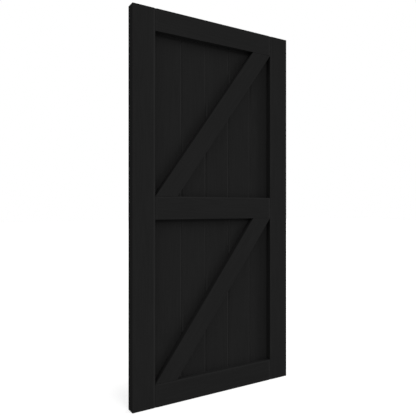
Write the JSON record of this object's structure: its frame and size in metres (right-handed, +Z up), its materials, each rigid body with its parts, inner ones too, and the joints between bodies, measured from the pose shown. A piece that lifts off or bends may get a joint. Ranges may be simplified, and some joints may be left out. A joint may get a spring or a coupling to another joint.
{
  "type": "framed ledged and braced door leaf",
  "caption": "Black painted boarded timber door leaf with a frame of stiles and rails, rising diagonal braces and V-jointed upright boards.",
  "frame": {"origin": "foot of the hinge edge, at the middle of the leaf's thickness", "axes": "+X across the leaf from its hinge edge to its closing edge, +Y from the braced side to the boarded weather side, +Z up"},
  "size_m": [0.965, 0.054, 1.981],
  "materials": {
    "stile_paint": "matt black paint on softwood, grain upright",
    "rail_paint": "matt black paint on softwood, grain level",
    "brace_paint": "matt black paint on softwood, grain along the brace",
    "board_paint": "matt black paint on tongued and grooved softwood boards, grain upright"
  },
  "bodies": {
    "root": {"hinge_stile": "stile_paint", "closing_stile": "stile_paint", "top_rail": "rail_paint", "middle_rail": "rail_paint", "bottom_rail": "rail_paint", "upper_brace": "brace_paint", "lower_brace": "brace_paint", "board_1": "board_paint", "board_2": "board_paint", "board_3": "board_paint", "board_4": "board_paint", "board_5": "board_paint"}
  },
  "joints": []
}
